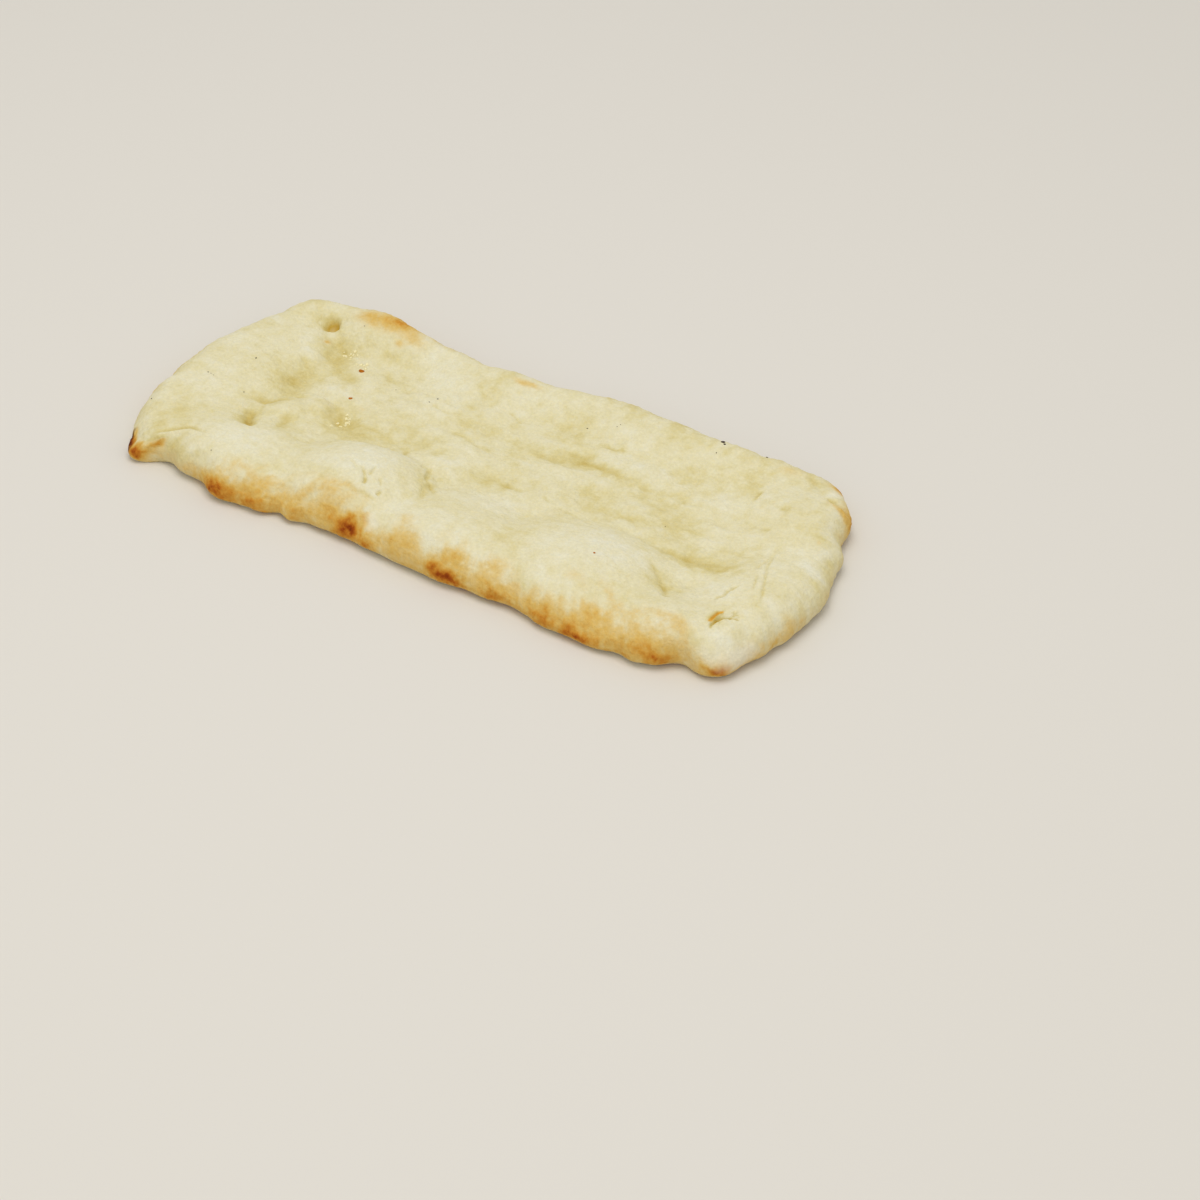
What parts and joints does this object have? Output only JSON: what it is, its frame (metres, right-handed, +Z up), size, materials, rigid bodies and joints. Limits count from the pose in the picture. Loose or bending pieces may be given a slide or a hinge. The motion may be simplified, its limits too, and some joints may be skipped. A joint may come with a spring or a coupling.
{
  "type": "pizza base",
  "caption": "Oblong hand-stretched pizza base with a thin pressed middle, a puffed uneven rim and lightly toasted edges.",
  "frame": {"origin": "centre of the bounding box at its lowest level, on the surface that the base rests on", "axes": "+X along the length, +Y across the width from the wide puffed side to the thinner side, +Z up"},
  "size_m": [0.265, 0.128, 0.0183],
  "materials": {
    "baked_dough": "dry matte baked dough, pale cream with toasted patches along the rim"
  },
  "bodies": {
    "root": {"pizza_base": "baked_dough"}
  },
  "joints": []
}
